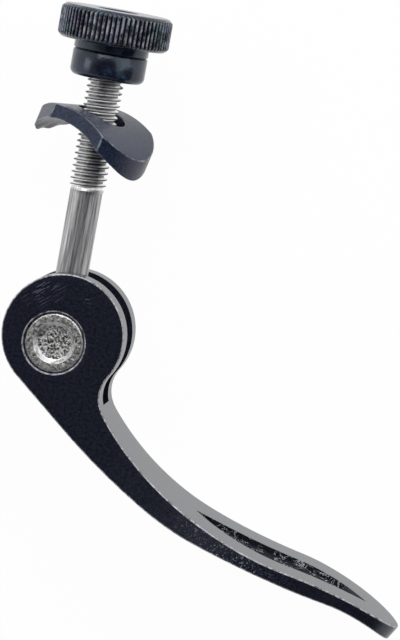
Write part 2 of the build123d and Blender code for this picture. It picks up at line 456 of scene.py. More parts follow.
def bore_edge(edge):
    """True for the outer edge of the bore in either cheek."""
    points = [v.co / MM for v in edge.verts]
    return all(abs(p.xy.length - BORE) < NEAR and abs(p.z) > CHEEK - NEAR for p in points)


print("bore edges:", pick(lever, "EDGE", bore_edge))
bpy.ops.mesh.bevel(offset=BORE_BEVEL * MM, offset_type="OFFSET", segments=2, affect="EDGES")
mark(lever, RUBBED)


# %% Faces of the recess
SHALLOWEST, DEEPEST, RAMP_FROM = 0.04, 1.6, 61.0


def recess_face(face):
    """True for the faces of the recess's floor and wall: inside the lens, below the handle's face."""
    middle = face.calc_center_median() / MM
    station = middle.xy.dot(ALONG)
    if not LENS_FROM < station < LENS_TO or abs(middle.z) > lens_half(station) + NEAR:
        return False
    depth = (on_chain(front, station) - middle.xy).dot(ACROSS)
    return SHALLOWEST < depth < DEEPEST and face.normal.xy.dot(ACROSS) > -0.2


print("recess faces:", pick(lever, "FACE", recess_face))
mark(lever, ROUGH)


def ramp_face(face):
    """True for the smooth ramp at the tip's end of the recess."""
    return face.material_index == ROUGH and face.calc_center_median().xy.dot(ALONG) > RAMP_FROM * MM


print("ramp faces:", pick(lever, "FACE", ramp_face))
mark(lever, PLAIN)
bpy.ops.object.mode_set(mode="OBJECT")
finish_piece(lever, "lever", "cam_lever")

# %% [markdown]
# ## The stud
# The stud is a steel rod with a rolled thread. A rolled thread stands higher than the plain shank below
# it. Rows of points climb one pitch for each turn, so the crest runs round as one line. A Screw modifier
# could sweep a profile, but it couldn't fade the thread in where it starts.

# %% Stud
ROUND = 72
SHANK, CREST, ROOT, END_RADIUS = 2.63, 2.95, 2.387, 2.35
FOOT, THREAD_FROM, FADE_IN, STUD_END = -4.5, 24.2, 1.3, 52.4
# A flank is a share of the 1 mm pitch and a radius; each row below is a radius and a height.
FLANKS = ((0.125, ROOT), (0.4375, CREST), (0.5625, CREST), (0.875, ROOT))
plain_rows = [(0, FOOT), (2.55, FOOT), (CREST, FOOT + 0.4), (CREST, 3.9), (SHANK, 4.3)]
plain_rows += [(SHANK, 14), (SHANK, 23.9), (SHANK, THREAD_FROM)]
turns = int(STUD_END - THREAD_FROM) + 2
screw_rows = [(radius, THREAD_FROM - 1 + t + phase) for t in range(turns) for phase, radius in FLANKS]
stud_rows = len(plain_rows) + len(screw_rows) + 1


def thread_radius(radius, height):
    """The thread's radius, fading in from the shank and cut off by the chamfer at the end."""
    fade = min(1.0, max(0.0, (height - THREAD_FROM) / FADE_IN))
    return min(SHANK + (radius - SHANK) * fade, END_RADIUS + (STUD_END - height))


def stud_place(a, b):
    """Rows of the stud from its foot to its end."""
    row = round(b * (stud_rows - 1))
    angle = -2 * pi * a
    if row < len(plain_rows):
        radius, height = plain_rows[row]
    elif row < stud_rows - 1:
        radius, height = screw_rows[row - len(plain_rows)]
        height = min(STUD_END, max(THREAD_FROM, height + a))
        radius = thread_radius(radius, height)
    else:
        radius, height = 0, STUD_END
    return (radius * cos(angle), height, radius * sin(angle))


stud = sheet("threaded_stud", ROUND, stud_rows - 1, stud_place)
close_up(stud, 2 * WELD)
finish_piece(stud, "stud", "stud", 28)

# %% [markdown]
# ## The pivot barrel
# The barrel is turned from bar. Each end is chamfered and has a dimple with a rough floor. It could be spun
# from a profile; a grid wound round the axis gives the same rings, and a cylinder cuts the tapped hole.

# %% Barrel
HALF, BARREL, TAPPED, DIMPLE_DEPTH, DIMPLE = 7.15, 4.9, 2.97, 0.9, 2.7
BARREL_ROUND, FLOOR = 96, HALF - DIMPLE_DEPTH
# Each row is a radius and a height: the dimple's floor, its wall, the flat ring, the chamfer and the side.
end_rows = [(0, FLOOR), (1, FLOOR), (2, FLOOR), (2.62, FLOOR), (2.76, HALF - 0.84)]
end_rows += [(2.86, HALF - 0.72), (3.32, HALF - 0.12), (3.42, HALF - 0.01), (3.55, HALF)]
end_rows += [(4.0, HALF), (4.4, HALF), (4.5, HALF - 0.02), (4.84, HALF - 0.26), (4.89, HALF - 0.33)]
end_rows += [(BARREL, HALF - 0.45), (BARREL, 5.0), (BARREL, 3.2)]
barrel_rows = end_rows + [(radius, -height) for radius, height in reversed(end_rows)]


def barrel_place(a, b):
    """Rows of the barrel from the middle of one end to the middle of the other."""
    radius, height = barrel_rows[round(b * (len(barrel_rows) - 1))]
    angle = 2 * pi * a
    return (radius * cos(angle), radius * sin(angle), height)


barrel = sheet("cross_barrel", BARREL_ROUND, len(barrel_rows) - 1, barrel_place)
close_up(barrel, 2 * WELD)
print("rows along the barrel:", len(barrel_rows))

# %% Tapped hole and marked faces
begin()
bpy.ops.mesh.primitive_cylinder_add(
    vertices=BARREL_ROUND, radius=TAPPED * MM, depth=20 * MM, rotation=(pi / 2, 0, 0)
)
cut(barrel, bpy.context.object)
edit(barrel)


def dimple_floor(face):
    """True for the level faces in the middle of either end."""
    return face.calc_center_median().xy.length < DIMPLE * MM and abs(face.normal.z) > UPRIGHT


print("dimple floor faces:", pick(barrel, "FACE", dimple_floor))
mark(barrel, ROUGH)


def polished(face):
    """True for the dimples' walls and the chamfers at both ends: neither level nor upright."""
    radius, tilt = face.calc_center_median().xy.length / MM, abs(face.normal.z)
    return face.material_index != ROUGH and radius > 2.6 and 0.1 < tilt < 0.97


print("wall and chamfer faces:", pick(barrel, "FACE", polished))
mark(barrel, RUBBED)
bpy.ops.object.mode_set(mode="OBJECT")
finish_piece(barrel, "stud", "pivot_barrel")

# %% [markdown]
# ## The thumb nut
# The nut is turned: a smooth collar with a fine groove, and a rim with straight knurling. The knurl is
# a ring of fine V grooves that fade out in the chamfers at both ends. It could be cut with copies of a
# sharp tool; here the rim's radius rises and falls with the angle, which leaves clean faces.

# %% Nut
TEETH, PER_TOOTH, KNURL_ROOT, KNURL_HEIGHT = 72, 6, 8.77, 0.28
SEAT, RIM_FLOOR, NUT_TOP = 42.7, 48.4, 53.9
NUT_BORE, COLLAR, RIM, ROUNDING = 3.0, 6.05, 9.05, 1.1
# Each row is a radius and a height: the seat, its rounded edge, the collar with its groove, the underside
# of the rim, the rim, the top and the bore.
nut_rows = [(NUT_BORE, SEAT + 0.5), (3.45, SEAT + 0.03), (3.55, SEAT), (4.9, SEAT)]
for angle in range(10, 91, 10):
    out, up = ROUNDING * sin(radians(angle)), ROUNDING * cos(radians(angle))
    nut_rows.append((COLLAR - ROUNDING + out, SEAT + ROUNDING - up))
nut_rows += [(COLLAR, 44.5), (COLLAR, 46.8), (6.0, 46.86), (5.8, 47.02), (6.0, 47.18)]
nut_rows += [(COLLAR, 47.24), (COLLAR, 48.1), (6.12, 48.3), (6.3, RIM_FLOOR), (7.5, RIM_FLOOR)]
nut_rows += [(8.2, RIM_FLOOR), (8.4, 48.46), (KNURL_ROOT, 48.8), (9.0, 49.05), (RIM, 49.3)]
nut_rows += [(RIM, 51), (RIM, 53.0), (9.0, 53.25), (KNURL_ROOT, 53.5), (8.4, 53.84), (8.2, NUT_TOP)]
nut_rows += [(6.5, NUT_TOP), (4.5, NUT_TOP), (3.55, NUT_TOP), (3.45, NUT_TOP - 0.03)]
nut_rows += [(NUT_BORE, NUT_TOP - 0.5), (NUT_BORE, 48), (NUT_BORE, SEAT + 0.5)]
print("rows round the nut's section:", len(nut_rows))

# %% Knurl


def tooth_radius(share):
    """The knurl's outline: rounded ridges and V grooves."""
    wave = 0.5 + 0.5 * cos(2 * pi * TEETH * share)
    return KNURL_ROOT + KNURL_HEIGHT * wave**0.7


def nut_place(a, b):
    """Rows of the nut round its closed section."""
    radius, height = nut_rows[round(b * (len(nut_rows) - 1))]
    if radius >= KNURL_ROOT:
        radius = min(radius, tooth_radius(a))
    angle = -2 * pi * a
    return (radius * cos(angle), height, radius * sin(angle))


nut = sheet("knurled_nut", TEETH * PER_TOOTH, len(nut_rows) - 1, nut_place)
close_up(nut, 2 * WELD)
finish_piece(nut, "nut", "thumb_nut", 40)

# %% [markdown]
# ## The saddle washer
# The washer is a pressed plate: a round arch with straight sides and rounded ends, and a hole that is
# roomy on the stud. One flat face with a hole couldn't be bent into an arch, so rings of faces run from the
# hole to the outline.

# %% Washer
ARCH, PLATE, WIDE, LONG, HOLE = 14.8, 2.4, 8.3, 10.0, 4.05
# The straight part of the near side ends at these distances from the middle, and that of the far side at FAR.
NEAR_RIGHT, NEAR_LEFT, FAR, LEFT_RADIUS = 6.5, 3.9, 5.2, 6.0
END_STEPS, SIDE_STEPS, CORNER_STEPS, WASHER_RINGS = 16, 24, 8, 12
WAVE_FROM, WAVE_HEIGHT, WASHER_BEVEL, WASHER_SHARP = -7, 0.3, 0.17, 35


def end_arc(corner):
    """Points of a right-hand end arc, from the middle of the end up to the corner at the side."""
    radius = (WIDE**2 + (LONG - corner) ** 2) / 2 / (LONG - corner)
    middle, sweep = Vector((LONG - radius, 0)), degrees(asin(WIDE / radius))
    return [middle + radius * turn(sweep * k / END_STEPS) for k in range(END_STEPS + 1)]


def plan_points():
    """The washer's outline in plan, anticlockwise from the middle of its right-hand end."""
    sides, corners = range(1, SIDE_STEPS + 1), range(1, CORNER_STEPS + 1)
    near_side = NEAR_RIGHT + NEAR_LEFT
    points = end_arc(NEAR_RIGHT)
    points += [Vector((NEAR_RIGHT - near_side * k / SIDE_STEPS, WIDE)) for k in sides]
    # A straight facet cuts the near left corner and runs into the left end's arc.
    middle = Vector((LEFT_RADIUS - LONG, 0))
    lean = degrees(asin(LEFT_RADIUS / WIDE))
    corner, touch = points[-1], middle + LEFT_RADIUS * turn(90 + lean)
    points += [corner.lerp(touch, k / CORNER_STEPS) for k in corners]
    points += [middle + LEFT_RADIUS * turn(90 + lean + (90 - lean) * k / CORNER_STEPS) for k in corners]
    # The far half: the other half of the left end, the far side and the rest of the right end.
    far_end = end_arc(FAR)
    points += [Vector((-p.x, -p.y)) for p in far_end[1:]]
    points += [Vector((-FAR + 2 * FAR * k / SIDE_STEPS, -WIDE)) for k in sides]
    points += [Vector((p.x, -p.y)) for p in reversed(far_end[:-1])]
    return points


washer_outline = plan_points()
print("points round the washer:", len(washer_outline))


# %% Arch and thickness of the washer


def washer_place(a, b):
    """Rings from the hole to the outline, laid on the arch."""
    edge = washer_outline[round(a * (len(washer_outline) - 1))]
    x, z = (HOLE * edge.normalized()).lerp(edge, b)
    return (x, sqrt(ARCH**2 - x**2) - ARCH, z)


washer = sheet("saddle_plate", len(washer_outline) - 1, WASHER_RINGS, washer_place)
edit(washer)
bpy.ops.mesh.select_all(action="SELECT")
bpy.ops.mesh.remove_doubles(threshold=WELD * MM)
bpy.ops.mesh.extrude_region_move(TRANSFORM_OT_translate={"value": (0, -PLATE * MM, 0)})


def underside(point):
    """The arch's hollow face, a little wavy at the left end."""
    height = sqrt((ARCH - PLATE) ** 2 - point.x**2) - ARCH
    if point.x < WAVE_FROM:
        wave = 0.5 + 0.5 * sin(point.z * 2.1 + 0.6)
        height -= WAVE_HEIGHT * min(1, (WAVE_FROM - point.x) / 2) * wave
    return (point.x, height, point.z)


move_picked(washer, underside)
close_up(washer)
edit(washer)
print("washer edges:", pick(washer, "EDGE", lambda e: e.calc_face_angle(0) > radians(WASHER_SHARP)))
bpy.ops.mesh.bevel(
    offset=WASHER_BEVEL * MM, offset_type="OFFSET", segments=2, affect="EDGES", clamp_overlap=True
)
mark(washer, RUBBED)
bpy.ops.object.mode_set(mode="OBJECT")

# %% [markdown]
# The loose washer hangs askew on the stud: a little to one side, turned about the stud and tilted. The
# mesh is turned and not the object, so that the piece stays at the origin, unturned, as the frame asks.

# %% Washer in its place
HANG_OFFSET, HANG_HEIGHT, HANG_TURN, HANG_TILT = 0.4, 37.3, -24.5, -14.8
hang = Matrix.Translation(Vector((HANG_OFFSET, HANG_HEIGHT, 0)) * MM)
hang = hang @ Matrix.Rotation(radians(HANG_TURN), 4, "Y") @ Matrix.Rotation(radians(HANG_TILT), 4, "Z")
washer.data.transform(hang)
close_up(washer)
finish_piece(washer, "washer", "saddle_washer")

# %% [markdown]
# ## Finishes
# A finish is a small net of nodes. All of them are added by one helper, and all patterns read Object
# coordinates, so that a pattern sits in the piece and moves with it. Every pattern gets its scale from a
# size in millimetres. Where several inputs share a name they are given by number: Map Range takes a value
# at 0, the range it is in at 1 and 2 and the range it becomes at 3 and 4, and Mix takes its two colours at
# 6 and 7.

# %% Helpers for finishes


def hex_colour(text):
    """An sRGB hex colour as linear red, green, blue and alpha."""
    parts = [int(text[i : i + 2], 16) / 255 for i in (1, 3, 5)]
    return (*[p / 12.92 if p <= 0.04045 else ((p + 0.055) / 1.055) ** 2.4 for p in parts], 1)


def new_material(name):
    """A material with no nodes yet."""
    material = bpy.data.materials.new(name)
    material.use_nodes = True
    material.node_tree.nodes.clear()
    return material


def add(owner, kind, inputs=None, stops=(), **settings):
    """Adds one node: an input is a number, a hex colour, or the node or output that feeds it."""
    node = owner.node_tree.nodes.new(kind)
    for key, value in settings.items():
        setattr(node, key, value)
    for key, value in (inputs or {}).items():
        if isinstance(value, bpy.types.Node):
            value = value.outputs[0]
        if isinstance(value, bpy.types.NodeSocket):
            owner.node_tree.links.new(value, node.inputs[key])
        else:
            node.inputs[key].default_value = hex_colour(value) if isinstance(value, str) else value
    for number, (position, colour) in enumerate(stops):
        marks = node.color_ramp.elements
        stop = marks[number] if number < 2 else marks.new(position)
        stop.position, stop.color = position, hex_colour(colour)
    return node


def per_metre(size):
    """How often a pattern with a grain of this many millimetres repeats in a metre."""
    return 1 / (size * MM)


def dress(piece, *materials):
    """Gives a piece its finishes, in the order of the numbers that its faces were marked with."""
    numbers = [face.material_index for face in piece.data.polygons]
    piece.data.materials.clear()
    for material in materials:
        piece.data.materials.append(material)
    for face, number in zip(piece.data.polygons, numbers):
        face.material_index = number
    print(piece.name, "wears", [(m.name, numbers.count(i)) for i, m in enumerate(materials)])


print("#808080 is", [round(c, 3) for c in hex_colour("#808080")], "in linear light")

# %% [markdown]
# ### Black anodised aluminium
# The lever is cast aluminium, tumbled smooth, with a black anodised coat: a thin clear oxide over black dye
# with a touch of blue. It is dark where it faces you and mirrors its surroundings at a slant. It has a faint
# mottle and fine grain, and a few scratches above the barrel. The mottle could be painted on a UV map, but
# noise on Object coordinates has no seams on a casting. The real grain is about 0.1 mm; it is drawn at
# 0.3 mm, because finer grain would not show.

# %% Coat
anodised = new_material("black_anodised_aluminium")
coords = add(anodised, "ShaderNodeTexCoord")
place = coords.outputs["Object"]
MOTTLE, GRAIN, GLINT_GRAIN = 0.5, 0.3, 0.36
rate = per_metre(MOTTLE)
mottle = add(anodised, "ShaderNodeTexNoise", {"Vector": place, "Scale": rate, "Detail": 4, "Roughness": 0.7})
coat = add(anodised, "ShaderNodeValToRGB", {0: mottle}, stops=((0.36, "#0E1019"), (0.66, "#20222F")))
print("the mottle's patches are", MOTTLE, "mm")

# %% Scratches
SCRATCH_DEPTH, SCRATCH_EDGE = 3, 0.05


def scratches(material, spot, reach, heading, length, gap, level):
    """Share of bare metal in a patch of fine parallel scratches: spot, reach, length and gap in mm."""
    near = add(material, "ShaderNodeVectorMath", {0: place, 1: Vector(spot) * MM}, operation="DISTANCE")
    patch = add(material, "ShaderNodeMapRange", {0: near.outputs["Value"], 1: reach * MM, 2: 0, 3: 0, 4: 1})
    turned = add(material, "ShaderNodeMapping", {"Vector": place, "Rotation": (0, 0, radians(-heading))})
    scale = (per_metre(length), per_metre(gap), per_metre(SCRATCH_DEPTH))
    drawn = add(material, "ShaderNodeMapping", {"Vector": turned, "Scale": scale})
    lines = add(material, "ShaderNodeTexNoise", {"Vector": drawn, "Scale": 1, "Detail": 2})
    thin = add(material, "ShaderNodeMapRange", {0: lines, 1: level, 2: level + SCRATCH_EDGE, 3: 0, 4: 1})
    return add(material, "ShaderNodeMath", {0: patch, 1: thin}, operation="MULTIPLY")


upper = scratches(anodised, (-3.2, 8.6, CHEEK), 4.2, 40, 2.2, 0.2, 0.6)
right = scratches(anodised, (3.8, 8.4, CHEEK), 2.2, 4, 2.0, 0.2, 0.66)
marked = add(anodised, "ShaderNodeMath", {0: upper, 1: right}, operation="MAXIMUM")
coat = add(anodised, "ShaderNodeMix", {"Factor": marked, 6: coat, 7: "#62627A"}, data_type="RGBA").outputs[2]
print("scratches in 2 patches on the near cheek")

# %% [markdown]
# Along the middle of the handle, its sides get bright specks: painted glints, where the rough sides would
# catch the light. The patch of glints is the distance from a spot on either side of the handle, so it fades
# out and has no edge. The two spots mirror each other, so the height above the middle plane is made positive
# first. The glints and a stronger grain show only on faces that look along the pivot.

# %% Painted glints on the handle's sides
GLINT_SPOT, GLINT_CORE, GLINT_REACH = (35.5, -25.0, 9.6), 4, 12.0
apart = add(anodised, "ShaderNodeSeparateXYZ", {0: place})
lift = add(anodised, "ShaderNodeMath", {0: apart.outputs["Z"]}, operation="ABSOLUTE")
folded = add(anodised, "ShaderNodeCombineXYZ", {0: apart.outputs["X"], 1: apart.outputs["Y"], 2: lift})
away = add(anodised, "ShaderNodeVectorMath", {0: folded, 1: Vector(GLINT_SPOT) * MM}, operation="DISTANCE")
away = away.outputs["Value"]
wear_and_glint = add(anodised, "ShaderNodeMapRange", {0: away, 1: GLINT_CORE * MM, 2: GLINT_REACH * MM, 3: 1, 4: 0})
outward = add(anodised, "ShaderNodeSeparateXYZ", {0: coords.outputs["Normal"]})
slant = add(anodised, "ShaderNodeMath", {0: outward.outputs["Z"]}, operation="ABSOLUTE")
facing = add(anodised, "ShaderNodeMapRange", {0: slant, 1: 0.5, 2: 0.8, 3: 0, 4: 1})
glint_area = add(anodised, "ShaderNodeMath", {0: facing, 1: wear_and_glint}, operation="MULTIPLY")
rate = per_metre(GLINT_GRAIN)
glint_noise = add(anodised, "ShaderNodeTexNoise", {"Vector": place, "Scale": rate, "Detail": 4, "Roughness": 0.75})
spark = add(anodised, "ShaderNodeMapRange", {0: glint_noise, 1: 0.56, 2: 0.66, 3: 0, 4: 0.9})
# The specks are painted glints: light grey #8C8E98 is mixed into the coat where the noise peaks.
glint = add(anodised, "ShaderNodeMath", {0: spark, 1: glint_area}, operation="MULTIPLY")
coat = add(anodised, "ShaderNodeMix", {"Factor": glint, 6: coat, 7: "#8C8E98"}, data_type="RGBA").outputs[2]
grain = add(anodised, "ShaderNodeTexNoise", {"Vector": place, "Scale": per_metre(GRAIN), "Detail": 3})
depth = add(anodised, "ShaderNodeMapRange", {0: facing, 1: 0, 2: 1, 3: 0.15, 4: 0.4})
bump = add(anodised, "ShaderNodeBump", {"Height": grain, "Strength": depth, "Distance": 0.05 * MM})
shader = add(
    anodised,
    "ShaderNodeBsdfPrincipled",
    {"Base Color": coat, "Roughness": 0.27, "Normal": bump, "Specular Tint": "#E7F1FF"},
)
add(anodised, "ShaderNodeOutputMaterial", {"Surface": shader})
# The printed reach and spot are those of the painted glints.
print("the sides are worn within", GLINT_REACH, "mm of", GLINT_SPOT)

# %% [markdown]
# On the rounded edges the coat is rubbed thin, and the aluminium under it shows through as a broken grey
# line. It has its own material on the bevel's faces, because a bevel's faces are exactly where wear falls.

# %% Rubbed edges
rubbed = new_material("anodising_rubbed_at_the_edges")
place = add(rubbed, "ShaderNodeTexCoord").outputs["Object"]
BARE_SPOT = 0.8
rate = per_metre(BARE_SPOT)
wear_and_glint = add(rubbed, "ShaderNodeTexNoise", {"Vector": place, "Scale": rate, "Detail": 4, "Roughness": 0.7})
bare_and_highlight = add(rubbed, "ShaderNodeValToRGB", {0: wear_and_glint}, stops=((0.34, "#2A2B33"), (0.62, "#B4B4BA")))
shader = add(rubbed, "ShaderNodeBsdfPrincipled", {"Base Color": bare_and_highlight, "Roughness": 0.3})
add(rubbed, "ShaderNodeOutputMaterial", {"Surface": shader})
print("the rubbed edges are bare in spots of about", BARE_SPOT, "mm")

# %% [markdown]
# The recess was cast, not machined. Its floor is lumpy and matt black, and thin bright lines along its lumps
# are painted glints, where the lumps would catch the light. The lines could be painted on a texture; here
# they are the level lines of a noise, which wander in the same way, broken up by a coarser one.

# %% Rough floor of the recess
cast = new_material("rough_cast_under_black_coat")
place = add(cast, "ShaderNodeTexCoord").outputs["Object"]
LUMP, CREASE, BREAK = 0.77, 1.4, 2.4
rate = per_metre(LUMP)
lumps = add(cast, "ShaderNodeTexNoise", {"Vector": place, "Scale": rate, "Detail": 5, "Roughness": 0.7})
coat = add(cast, "ShaderNodeValToRGB", {0: lumps}, stops=((0.35, "#08090D"), (0.7, "#22232F")))
rate = per_metre(CREASE)
crest = add(cast, "ShaderNodeTexNoise", {"Vector": place, "Scale": rate, "Detail": 5, "Distortion": 0.8})
level = add(cast, "ShaderNodeMath", {0: crest, 1: 0.5}, operation="SUBTRACT")
away = add(cast, "ShaderNodeMath", {0: level}, operation="ABSOLUTE")
line = add(cast, "ShaderNodeMapRange", {0: away, 1: 0.012, 2: 0.022, 3: 0.8, 4: 0})
gaps = add(cast, "ShaderNodeTexNoise", {"Vector": place, "Scale": per_metre(BREAK), "Detail": 1})
kept = add(cast, "ShaderNodeMapRange", {0: gaps, 1: 0.42, 2: 0.5, 3: 0, 4: 1})
# The bright lines are painted glints: #B4B6BE mixed into the black coat.
glint_lines = add(cast, "ShaderNodeMath", {0: line, 1: kept}, operation="MULTIPLY")
coat = add(cast, "ShaderNodeMix", {"Factor": glint_lines, 6: coat, 7: "#B4B6BE"}, data_type="RGBA").outputs[2]
bump = add(cast, "ShaderNodeBump", {"Height": lumps, "Strength": 1.0, "Distance": 0.35 * MM})
shader = add(
    cast,
    "ShaderNodeBsdfPrincipled",
    {"Base Color": coat, "Roughness": 0.85, "Normal": bump, "Specular IOR Level": 0.12},
)
add(cast, "ShaderNodeOutputMaterial", {"Surface": shader})
dress(lever, anodised, rubbed, cast)

# %% [markdown]
# ### Drawn and rolled steel
# The stud is plain steel. Its shank was drawn, which leaves fine lines along it, and handling has dulled it
# in patches. The thread was rolled. Its roots and a narrow band along each crest are painted dark: painted
# shade. Its flanks are bright. The lines on the shank could be an anisotropic gloss, but stretched noise
# shows them as separate lines. The real lines are finer than 0.1 mm; they are drawn 0.3 mm apart, so that
# they show.

# %% Drawn steel
steel = new_material("drawn_steel")
place = add(steel, "ShaderNodeTexCoord").outputs["Object"]
LINE_GAP, LINE_LENGTH = 0.3, 9
ROOT_SHADE, CREST_SHADE = (2.38, 2.46), (2.84, 2.89)  # distances from the stud's axis
scale = (per_metre(LINE_GAP), per_metre(LINE_LENGTH), per_metre(LINE_GAP))
stretch = add(steel, "ShaderNodeMapping", {"Vector": place, "Scale": scale})
streak = add(steel, "ShaderNodeTexNoise", {"Vector": stretch, "Scale": 1, "Detail": 4, "Roughness": 0.65})
bright = add(steel, "ShaderNodeValToRGB", {0: streak}, stops=((0.36, "#6C6C6D"), (0.62, "#CACACB")))
flat_place = add(steel, "ShaderNodeVectorMath", {0: place, 1: (1, 0, 1)}, operation="MULTIPLY")
radius = add(steel, "ShaderNodeVectorMath", {0: flat_place}, operation="LENGTH").outputs["Value"]
height = add(steel, "ShaderNodeSeparateXYZ", {0: place}).outputs["Y"]
rolled_from, rolled_to = (THREAD_FROM + 0.2) * MM, (THREAD_FROM + 1) * MM
rolled = add(steel, "ShaderNodeMapRange", {0: height, 1: rolled_from, 2: rolled_to, 3: 0, 4: 1})
polish = add(steel, "ShaderNodeMix", {"Factor": rolled, 6: bright, 7: "#FFFFFF"}, data_type="RGBA").outputs[2]
# The thread's roots and a narrow band on each crest are darkened to #141416: painted shade.
inner, outer = (distance * MM for distance in ROOT_SHADE)
root_shade = add(steel, "ShaderNodeMapRange", {0: radius, 1: inner, 2: outer, 3: 0.9, 4: 0})
inner, outer = (distance * MM for distance in CREST_SHADE)
crest_shade = add(steel, "ShaderNodeMapRange", {0: radius, 1: inner, 2: outer, 3: 0, 4: 0.9})
dark = add(steel, "ShaderNodeMath", {0: root_shade, 1: crest_shade}, operation="MAXIMUM")
thread_shade = add(steel, "ShaderNodeMath", {0: rolled, 1: dark}, operation="MULTIPLY")
metal = add(steel, "ShaderNodeMix", {"Factor": thread_shade, 6: polish, 7: "#141416"}, data_type="RGBA").outputs[2]
bump = add(steel, "ShaderNodeBump", {"Height": streak, "Strength": 0.35, "Distance": 0.1 * MM})
rough = add(steel, "ShaderNodeMapRange", {0: rolled, 1: 0, 2: 1, 3: 0.48, 4: 0.4})
shader = add(
    steel,
    "ShaderNodeBsdfPrincipled",
    {"Base Color": metal, "Metallic": 1.0, "Roughness": rough, "Normal": bump},
)
add(steel, "ShaderNodeOutputMaterial", {"Surface": shader})
dress(stud, steel)

# %% [markdown]
# ### Turned steel
# The barrel's end was faced on a lathe, then struck by a punch that left a dimple with a pitted floor. The
# flat ring is dull and smeared, the chamfers and the dimple's wall are bright, and the floor is granular.
# Marked faces carry the three finishes, so nothing has to be painted.

# %% Flat ring of the barrel
lathed = new_material("turned_steel")
place = add(lathed, "ShaderNodeTexCoord").outputs["Object"]
SMEAR, LATHE_GRAIN = 0.6, 0.5
rate = per_metre(SMEAR)
smear = add(lathed, "ShaderNodeTexNoise", {"Vector": place, "Scale": rate, "Detail": 5, "Roughness": 0.8})
bright = add(lathed, "ShaderNodeValToRGB", {0: smear}, stops=((0.4, "#565652"), (0.62, "#D2D2D0")))
rate = per_metre(LATHE_GRAIN)
fine = add(lathed, "ShaderNodeTexNoise", {"Vector": place, "Scale": rate, "Detail": 3})
bump = add(lathed, "ShaderNodeBump", {"Height": fine, "Strength": 1.0, "Distance": 0.2 * MM})
shader = add(
    lathed,
    "ShaderNodeBsdfPrincipled",
    {"Base Color": bright, "Metallic": 1.0, "Roughness": 0.5, "Normal": bump},
)
add(lathed, "ShaderNodeOutputMaterial", {"Surface": shader})
print("the ring's smears are about", SMEAR, "mm long")

# %% Bright chamfers and dimple wall
buffed = new_material("polished_steel")
place = add(buffed, "ShaderNodeTexCoord").outputs["Object"]
POLISH_MARK = 0.8
rate = per_metre(POLISH_MARK)
smear = add(buffed, "ShaderNodeTexNoise", {"Vector": place, "Scale": rate, "Detail": 3})
bright = add(buffed, "ShaderNodeValToRGB", {0: smear}, stops=((0.34, "#A0A0A0"), (0.56, "#F0F0F0")))
shader = add(buffed, "ShaderNodeBsdfPrincipled", {"Base Color": bright, "Metallic": 1.0, "Roughness": 0.45})
add(buffed, "ShaderNodeOutputMaterial", {"Surface": shader})
print("the chamfers' marks are about", POLISH_MARK, "mm long")

# %% Struck floor of the dimples
struck = new_material("struck_steel")
place = add(struck, "ShaderNodeTexCoord").outputs["Object"]
PIT = 0.38
rate = per_metre(PIT)
pits = add(struck, "ShaderNodeTexNoise", {"Vector": place, "Scale": rate, "Detail": 3, "Roughness": 0.6})
bright = add(struck, "ShaderNodeValToRGB", {0: pits}, stops=((0.4, "#343434"), (0.6, "#D0D0CE")))
bump = add(struck, "ShaderNodeBump", {"Height": pits, "Strength": 1.0, "Distance": 0.3 * MM})
shader = add(
    struck,
    "ShaderNodeBsdfPrincipled",
    {"Base Color": bright, "Metallic": 1.0, "Roughness": 0.42, "Normal": bump},
)
add(struck, "ShaderNodeOutputMaterial", {"Surface": shader})
dress(barrel, lathed, buffed, struck)

# %% [markdown]
# ### Blue-black plating
# The washer is pressed steel with a thin blue-black plating, a little granular from the pressing, and worn
# lighter along its edges. It is a coat over steel, so it is drawn as a dark glossy paint with fine grain,
# not as bare metal. The worn edges have a finish of their own, on the bevel's faces.

# %% Plating of the washer
plating = new_material("blue_black_plating")
place = add(plating, "ShaderNodeTexCoord").outputs["Object"]
PRESSED = 0.36
rate = per_metre(PRESSED)
mottle = add(plating, "ShaderNodeTexNoise", {"Vector": place, "Scale": rate, "Detail": 5, "Roughness": 0.8})
coat = add(plating, "ShaderNodeValToRGB", {0: mottle}, stops=((0.38, "#050916"), (0.62, "#26344F")))
bump = add(plating, "ShaderNodeBump", {"Height": mottle, "Strength": 0.8, "Distance": 0.1 * MM})
shader = add(
    plating,
    "ShaderNodeBsdfPrincipled",
    {
        "Base Color": coat,
        "Roughness": 0.27,
        "Normal": bump,
        "Specular IOR Level": 0.38,
        "Specular Tint": "#F4F6FF",
    },
)
add(plating, "ShaderNodeOutputMaterial", {"Surface": shader})
print("the plating's grain is", PRESSED, "mm")

# %% Worn edges of the washer
worn_coat = new_material("plating_worn_at_the_edges")
place = add(worn_coat, "ShaderNodeTexCoord").outputs["Object"]
WORN_STRETCH = 1.2
rate = per_metre(WORN_STRETCH)
wear_and_glint = add(worn_coat, "ShaderNodeTexNoise", {"Vector": place, "Scale": rate, "Detail": 3})
coat = add(worn_coat, "ShaderNodeValToRGB", {0: wear_and_glint}, stops=((0.4, "#242C3E"), (0.66, "#7C828E")))
shader = add(worn_coat, "ShaderNodeBsdfPrincipled", {"Base Color": coat, "Roughness": 0.3})
add(worn_coat, "ShaderNodeOutputMaterial", {"Surface": shader})
dress(washer, plating, worn_coat)

# %% [markdown]
# ### Black plating
# The nut is turned steel with a glossy black plating that shines blue and violet at a slant. The knurl's
# ridges are lightened to a broken grey, violet and teal: painted highlights. Its grooves are painted black:
# painted shade. The ridges could be painted by hand, but their distance from the nut's axis tells them
# apart, whatever their number.

